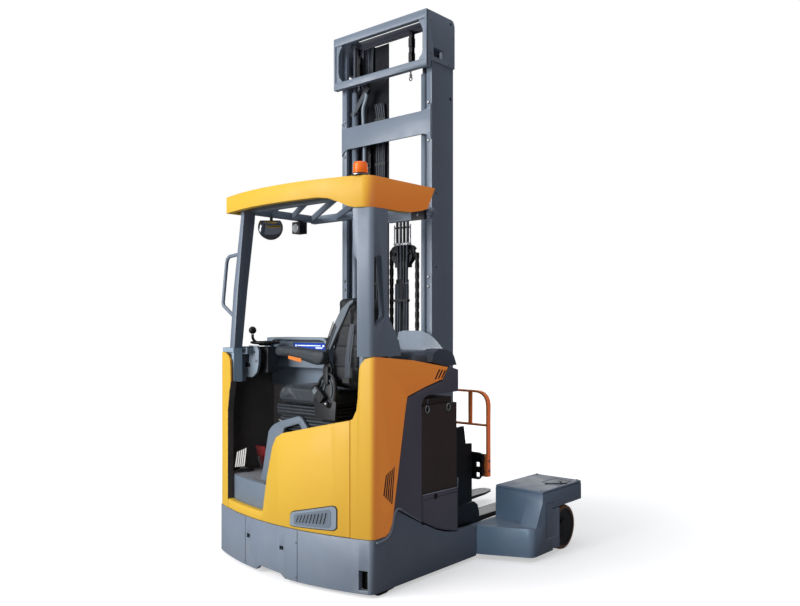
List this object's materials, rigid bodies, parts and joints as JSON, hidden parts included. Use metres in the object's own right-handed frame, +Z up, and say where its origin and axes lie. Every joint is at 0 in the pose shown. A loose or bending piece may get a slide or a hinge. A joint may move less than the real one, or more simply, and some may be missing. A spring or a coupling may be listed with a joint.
{
  "type": "multi-directional reach truck",
  "caption": "Electric reach truck with side-facing cab, overhead guard, telescopic mast, spreading forks and steerable load wheels under two leg pods.",
  "frame": {"origin": "middle of the overall length and width at floor level", "axes": "+X along the forks, +Y to the operator's entry side, +Z up"},
  "size_m": [2.406, 1.918, 3.361],
  "materials": {
    "yellow_paint": "semi-gloss golden yellow powder coat",
    "grey_paint": "satin slate grey paint",
    "grey_plastic": "moulded grey plastic, fine grain",
    "black_paint": "satin black paint",
    "black_plastic": "moulded black plastic",
    "battery_black": "matt black coated steel tray",
    "black_vinyl": "black grained vinyl",
    "clear_screen": "clear polycarbonate",
    "amber_lens": "ribbed translucent amber",
    "red_paint": "red coated steel",
    "orange_paint": "orange powder coat",
    "fork_steel": "black forged steel, worn top face",
    "polyurethane": "brown cast polyurethane tread"
  },
  "bodies": {
    "truck": {"chassis_frame": "grey_paint", "leg_right": "grey_paint", "leg_left": "grey_paint", "pod_lids": "grey_paint", "rear_panel": "yellow_paint", "side_panels": "yellow_paint", "side_columns": "grey_paint", "battery_block": "battery_black", "hood": "grey_paint", "mast_screen": "clear_screen", "cab_floor": "grey_plastic", "seat_pedestal": "grey_plastic", "entry_rail": "grey_plastic", "dash_console": "grey_plastic", "seat_base": "black_plastic", "seat_cushion": "black_vinyl", "seat_backrest": "black_vinyl", "armrest": "black_vinyl", "guard_pillar": "grey_paint", "guard_post": "grey_paint", "guard_visor": "yellow_paint", "guard_frame": "grey_paint", "beacon": "amber_lens", "guard_fittings": "black_plastic", "pedals": "red_paint", "steering_column": "black_plastic"},
    "steering": {"steering_wheel": "black_plastic"},
    "drive_steering": {"drive_unit": "black_paint"},
    "drive_rolling": {"drive_wheel": "polyurethane"},
    "castor_swivelling": {"castor_fork": "black_paint"},
    "castor_rolling": {"castor_wheels": "polyurethane"},
    "pod_steering_right": {"pod_yoke_right": "black_paint"},
    "pod_rolling_right": {"pod_wheel_right": "polyurethane"},
    "pod_steering_left": {"pod_yoke_left": "black_paint"},
    "pod_rolling_left": {"pod_wheel_left": "polyurethane"},
    "reach": {"reach_carriage": "black_paint", "mast_outer": "grey_paint", "lift_barrels": "grey_paint"},
    "mast_mid": {"mast_middle": "grey_paint"},
    "mast_in": {"mast_inner": "grey_paint", "freelift_barrel": "black_paint"},
    "freelift": {"freelift_head": "black_paint"},
    "carriage": {"carriage_frame": "black_paint"},
    "sideshift": {"sideshift_frame": "black_paint"},
    "tilt": {"tilt_frame": "black_paint", "load_backrest": "orange_paint"},
    "fork_slide_right": {"fork_right": "fork_steel"},
    "fork_slide_left": {"fork_left": "fork_steel"}
  },
  "joints": [
    {"name": "steering_turn", "type": "hinge", "parent": "truck", "child": "steering", "pos_m": [-0.896, 0.44, 1.31], "axis": [0, 0, 1], "continuous": true},
    {"name": "drive_steer", "type": "hinge", "parent": "truck", "child": "drive_steering", "pos_m": [-0.896, 0.22, 0.35], "axis": [0, 0, 1], "range_deg": [-95, 95]},
    {"name": "drive_spin", "type": "hinge", "parent": "drive_steering", "child": "drive_rolling", "pos_m": [-0.896, 0.22, 0.1715], "axis": [0, 1, 0], "continuous": true},
    {"name": "castor_swivel", "type": "hinge", "parent": "truck", "child": "castor_swivelling", "pos_m": [-0.956, -0.533, 0.25], "axis": [0, 0, 1], "continuous": true},
    {"name": "castor_spin", "type": "hinge", "parent": "castor_swivelling", "child": "castor_rolling", "pos_m": [-0.976, -0.533, 0.062], "axis": [0, 1, 0], "continuous": true},
    {"name": "pod_steer_right", "type": "hinge", "parent": "truck", "child": "pod_steering_right", "pos_m": [0.379, -0.905, 0.3], "axis": [0, 0, 1], "range_deg": [0, 90]},
    {"name": "pod_spin_right", "type": "hinge", "parent": "pod_steering_right", "child": "pod_rolling_right", "pos_m": [0.379, -0.905, 0.14], "axis": [0, 1, 0], "continuous": true},
    {"name": "pod_steer_left", "type": "hinge", "parent": "truck", "child": "pod_steering_left", "pos_m": [0.379, 0.905, 0.3], "axis": [0, 0, -1], "range_deg": [0, 90]},
    {"name": "pod_spin_left", "type": "hinge", "parent": "pod_steering_left", "child": "pod_rolling_left", "pos_m": [0.379, 0.905, 0.14], "axis": [0, 1, 0], "continuous": true},
    {"name": "mast_reach", "type": "slide", "parent": "truck", "child": "reach", "axis": [1, 0, 0], "range_m": [0, 0.56]},
    {"name": "mast_stage_one", "type": "slide", "parent": "reach", "child": "mast_mid", "axis": [0, 0, 1], "range_m": [0, 2.4]},
    {"name": "mast_stage_two", "type": "slide", "parent": "mast_mid", "child": "mast_in", "axis": [0, 0, 1], "range_m": [0, 2.4]},
    {"name": "carriage_lift", "type": "slide", "parent": "mast_in", "child": "carriage", "axis": [0, 0, 1], "range_m": [0, 2.2]},
    {"name": "freelift_ram", "type": "slide", "parent": "mast_in", "child": "freelift", "axis": [0, 0, 1], "range_m": [0, 1.1]},
    {"name": "side_shift", "type": "slide", "parent": "carriage", "child": "sideshift", "axis": [0, 1, 0], "range_m": [-0.075, 0.075]},
    {"name": "fork_tilt", "type": "hinge", "parent": "sideshift", "child": "tilt", "pos_m": [0.014, 0, 0.588], "axis": [0, -1, 0], "range_deg": [-2, 4]},
    {"name": "fork_spread_right", "type": "slide", "parent": "tilt", "child": "fork_slide_right", "axis": [0, -1, 0], "range_m": [-0.095, 0.27]},
    {"name": "fork_spread_left", "type": "slide", "parent": "tilt", "child": "fork_slide_left", "axis": [0, 1, 0], "range_m": [-0.095, 0.27]}
  ],
  "couplings": [
    {"joint": "mast_stage_two", "follows": "mast_stage_one", "ratio": 1},
    {"joint": "freelift_ram", "follows": "carriage_lift", "ratio": 0.5}
  ]
}
